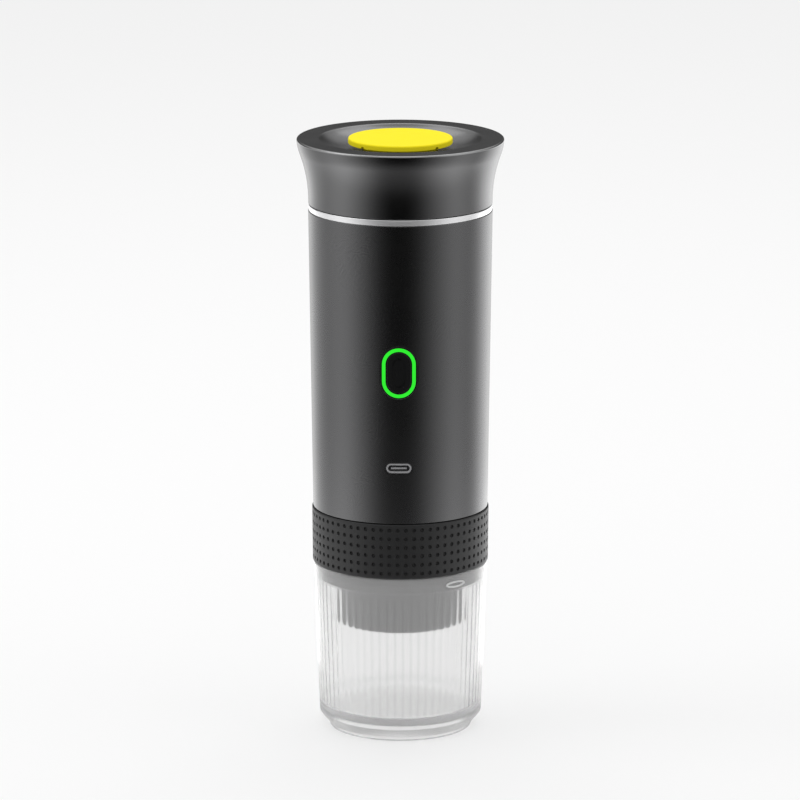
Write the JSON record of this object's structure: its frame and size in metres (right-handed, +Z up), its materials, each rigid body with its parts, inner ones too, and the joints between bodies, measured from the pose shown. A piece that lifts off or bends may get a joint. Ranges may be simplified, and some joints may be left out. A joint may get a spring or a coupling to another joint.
{
  "type": "portable coffee maker",
  "caption": "Battery coffee maker, a tapered tube with a flared screw lid and plug, an oval lit button, a dotted grip collar and a frosted cup plugged on below.",
  "frame": {"origin": "on the floor under the axis of the round body, in the plane of the cup's foot ring", "axes": "+Z up along the body's axis, the button and charging port face -Y, +X to the right of the front"},
  "size_m": [0.084, 0.084, 0.245],
  "materials": {
    "frosted_plastic": "frosted see-through plastic",
    "grey_plastic": "fine satin moulding",
    "grip_rubber": "matt, moulded dimples",
    "clear_silicone": "translucent silicone",
    "stainless_steel": "brushed",
    "black_plastic": "fine texture",
    "body_finish": "satin anthracite coating",
    "cell_wrap": "shrink wrap",
    "nickel": "plain",
    "foam": "closed-cell foam",
    "board_laminate": "solder mask",
    "lamp_chip": "clear lens",
    "green_light": "lit light guide",
    "button_plastic": "smooth",
    "port_metal": "satin",
    "pump_plastic": "glass filled",
    "yoke_steel": "zinc plated",
    "copper_winding": "enamelled wire",
    "black_rubber": "matt",
    "heater_aluminium": "machined",
    "thermostat_ceramic": "unglazed",
    "polished_trim": "polished",
    "lid_plastic": "satin anthracite",
    "yellow_silicone": "soft matt silicone",
    "lead_insulation": "smooth"
  },
  "bodies": {
    "cup": {"cup": "frosted_plastic"},
    "brew": {"brew_collar": "grey_plastic", "grip_sleeve": "grip_rubber", "cup_seal": "clear_silicone", "spout_housing": "grey_plastic", "filter_basket": "stainless_steel", "basket_screen": "stainless_steel"},
    "head_seal": {"head_gasket": "clear_silicone"},
    "main": {"brew_head": "black_plastic", "shower_screen": "stainless_steel", "shell_seal": "clear_silicone", "head_screws": "stainless_steel", "chassis": "black_plastic", "outer_shell": "body_finish", "cell_right": "cell_wrap", "cell_rear": "cell_wrap", "cell_left": "cell_wrap", "cell_strips": "nickel", "cell_pads": "foam", "main_board": "board_laminate", "board_screws": "stainless_steel", "board_components": "black_plastic", "status_leds": "lamp_chip", "tact_switch": "black_plastic", "led_ring": "green_light", "button_gasket": "clear_silicone", "usb_bezel": "port_metal", "usb_shell": "stainless_steel", "usb_tongue": "port_metal", "pump_body": "pump_plastic", "valve_spring": "yoke_steel", "return_spring": "yoke_steel", "buffer_spring": "yoke_steel", "pump_yoke": "yoke_steel", "pump_coil": "copper_winding", "pump_foot": "black_rubber", "pump_buffer": "black_rubber", "outlet_hose": "clear_silicone", "inlet_hose": "clear_silicone", "hose_clips": "stainless_steel", "water_tank": "stainless_steel", "tank_filter": "stainless_steel", "tank_gasket": "clear_silicone", "tank_insulation": "foam", "heater_plate": "heater_aluminium", "thermostat": "thermostat_ceramic", "temperature_sensor": "heater_aluminium", "top_collar": "black_plastic", "trim_ring": "polished_trim", "wiring": "lead_insulation"},
    "button": {"button_cap": "button_plastic", "switch_plunger": "black_plastic"},
    "plunger": {"pump_plunger": "yoke_steel"},
    "valve": {"valve_poppet": "pump_plastic"},
    "lid_seal": {"lid_gasket": "clear_silicone"},
    "lid": {"lid_shell": "lid_plastic", "lid_liner": "black_plastic"},
    "plug": {"filler_plug": "yellow_silicone"}
  },
  "joints": [
    {"name": "cup_lift", "type": "slide", "parent": "cup", "child": "brew", "axis": [0, 0, 1], "range_m": [0, 0.03]},
    {"name": "brew_lift", "type": "slide", "parent": "brew", "child": "head_seal", "axis": [0, 0, 1], "range_m": [0, 0.004]},
    {"name": "brew_turn", "type": "hinge", "parent": "head_seal", "child": "main", "pos_m": [0, 0, 0.0928], "axis": [0, 0, 1], "range_deg": [0, 120]},
    {"name": "button_press", "type": "slide", "parent": "main", "child": "button", "axis": [0, 1, 0], "range_m": [0, 0.0006], "stiffness_N_per_m": 1500, "springref_m": -0.0004},
    {"name": "plunger_stroke", "type": "slide", "parent": "main", "child": "plunger", "axis": [0, 0, 1], "range_m": [-0.002, 0.002], "stiffness_N_per_m": 1200, "deforming": ["return_spring", "buffer_spring"]},
    {"name": "valve_open", "type": "slide", "parent": "main", "child": "valve", "axis": [0, 0, -1], "range_m": [0, 0.001], "stiffness_N_per_m": 200, "springref_m": -0.001, "deforming": ["valve_spring"]},
    {"name": "lid_lift", "type": "slide", "parent": "main", "child": "lid_seal", "axis": [0, 0, 1], "range_m": [0, 0.004]},
    {"name": "lid_turn", "type": "hinge", "parent": "lid_seal", "child": "lid", "pos_m": [0, 0, 0.2182], "axis": [0, 0, 1], "range_deg": [0, 120]},
    {"name": "plug_lift", "type": "slide", "parent": "lid", "child": "plug", "axis": [0, 0, 1], "range_m": [0, 0.012]}
  ],
  "couplings": [
    {"joint": "brew_lift", "follows": "brew_turn", "m_per_rad": 0.0019098},
    {"joint": "lid_lift", "follows": "lid_turn", "m_per_rad": 0.0019098}
  ]
}
